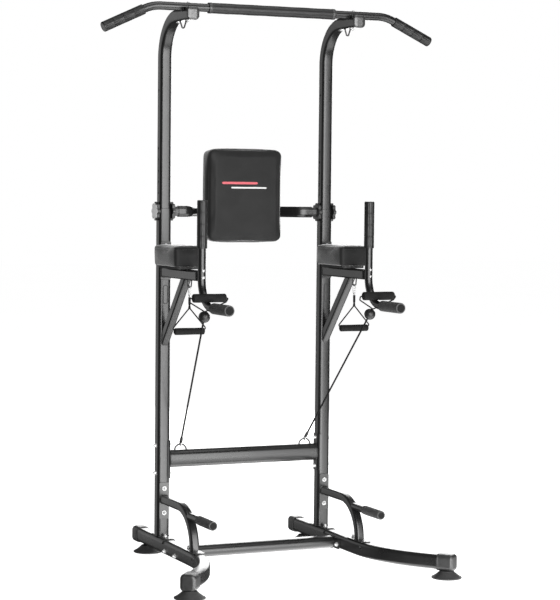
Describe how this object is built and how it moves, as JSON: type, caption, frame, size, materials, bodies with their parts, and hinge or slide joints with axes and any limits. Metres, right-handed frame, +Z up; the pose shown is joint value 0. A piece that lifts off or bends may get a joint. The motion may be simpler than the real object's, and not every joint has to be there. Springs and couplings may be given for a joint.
{
  "type": "power tower",
  "caption": "Free-standing power tower with a height-adjustable pull-up bar, padded dip arms, a back pad, push-up handles and elastic bands with foam grips.",
  "frame": {"origin": "on the floor, under the middle of the machine's bounding box", "axes": "+X to the machine's right-hand side as seen from the front with +Y going back, +Y towards the rear, +Z up; the user stands on the -Y side of the back pad"},
  "size_m": [1.3568, 1.0538, 2.1185],
  "materials": {
    "painted_steel": "satin",
    "black_plastic": "satin",
    "grey_plastic": "satin",
    "foot_rubber": "matte",
    "ball_rubber": "satin",
    "foam_grip": "matte",
    "leatherette": "satin",
    "band_rubber": "matte",
    "webbing": "matte",
    "bright_steel": "polished"
  },
  "bodies": {
    "base_frame": {"base_crossbar": "painted_steel", "lower_crossbar": "painted_steel", "base_rail_right": "painted_steel", "base_rail_left": "painted_steel", "lower_upright_right": "painted_steel", "lower_upright_left": "painted_steel", "pushup_brace_right": "painted_steel", "pushup_brace_left": "painted_steel", "arm_tube_right": "painted_steel", "arm_tube_left": "painted_steel", "arm_brace_right": "painted_steel", "arm_brace_left": "painted_steel", "dip_tube_right": "painted_steel", "dip_tube_left": "painted_steel", "front_rail_cap_right": "black_plastic", "front_rail_cap_left": "black_plastic", "rear_rail_cap_right": "black_plastic", "rear_rail_cap_left": "black_plastic", "front_foot_right": "foot_rubber", "front_foot_left": "foot_rubber", "rear_foot_right": "foot_rubber", "rear_foot_left": "foot_rubber", "band_ball_right": "ball_rubber", "band_ball_left": "ball_rubber", "upright_grip_right": "foam_grip", "upright_grip_left": "foam_grip", "dip_grip_right": "foam_grip", "dip_grip_left": "foam_grip", "pushup_grip_right": "foam_grip", "pushup_grip_left": "foam_grip", "band_handle_right": "foam_grip", "band_handle_left": "foam_grip", "arm_pad_right": "leatherette", "arm_pad_left": "leatherette", "band_right": "band_rubber", "band_left": "band_rubber", "band_bridle_right": "webbing", "band_bridle_left": "webbing", "band_clip_right": "bright_steel", "band_clip_left": "bright_steel"},
    "upper_frame": {"upper_upright_right": "painted_steel", "upper_upright_left": "painted_steel", "top_cap_right": "grey_plastic", "top_cap_left": "grey_plastic", "end_grip_right": "foam_grip", "end_grip_left": "foam_grip", "pull_up_bar": "painted_steel", "centre_grip": "foam_grip"},
    "backrest": {"backrest_bar": "painted_steel", "back_pad": "leatherette"},
    "outer_knob_right": {"outer_knob_right": "black_plastic"},
    "outer_knob_left": {"outer_knob_left": "black_plastic"},
    "inner_knob_right": {"inner_knob_right": "black_plastic"},
    "inner_knob_left": {"inner_knob_left": "black_plastic"},
    "swing_right": {"carabiner_right": "bright_steel", "swing_strap_right": "webbing", "swing_handle_right": "foam_grip"},
    "swing_left": {"carabiner_left": "bright_steel", "swing_strap_left": "webbing", "swing_handle_left": "foam_grip"}
  },
  "joints": [
    {"name": "upper_frame_slide", "type": "slide", "parent": "base_frame", "child": "upper_frame", "axis": [0, 0, 1], "range_m": [-0.24, 0]},
    {"name": "backrest_tilt", "type": "hinge", "parent": "base_frame", "child": "backrest", "pos_m": [0, 0.26494, 1.341], "axis": [1, 0, 0], "range_deg": [-15, 15]},
    {"name": "outer_knob_right_turn", "type": "hinge", "parent": "base_frame", "child": "outer_knob_right", "pos_m": [0.371, 0.26494, 1.341], "axis": [1, 0, 0], "continuous": true},
    {"name": "outer_knob_left_turn", "type": "hinge", "parent": "base_frame", "child": "outer_knob_left", "pos_m": [-0.371, 0.26494, 1.341], "axis": [1, 0, 0], "continuous": true},
    {"name": "inner_knob_right_turn", "type": "hinge", "parent": "base_frame", "child": "inner_knob_right", "pos_m": [0.309, 0.26494, 1.341], "axis": [1, 0, 0], "continuous": true},
    {"name": "inner_knob_left_turn", "type": "hinge", "parent": "base_frame", "child": "inner_knob_left", "pos_m": [-0.309, 0.26494, 1.341], "axis": [1, 0, 0], "continuous": true},
    {"name": "swing_right_hang", "type": "hinge", "parent": "base_frame", "child": "swing_right", "pos_m": [0.34, -0.01356, 1.062], "axis": [1, 0, 0], "range_deg": [-18, 30]},
    {"name": "swing_left_hang", "type": "hinge", "parent": "base_frame", "child": "swing_left", "pos_m": [-0.34, -0.01356, 1.062], "axis": [1, 0, 0], "range_deg": [-18, 30]}
  ]
}
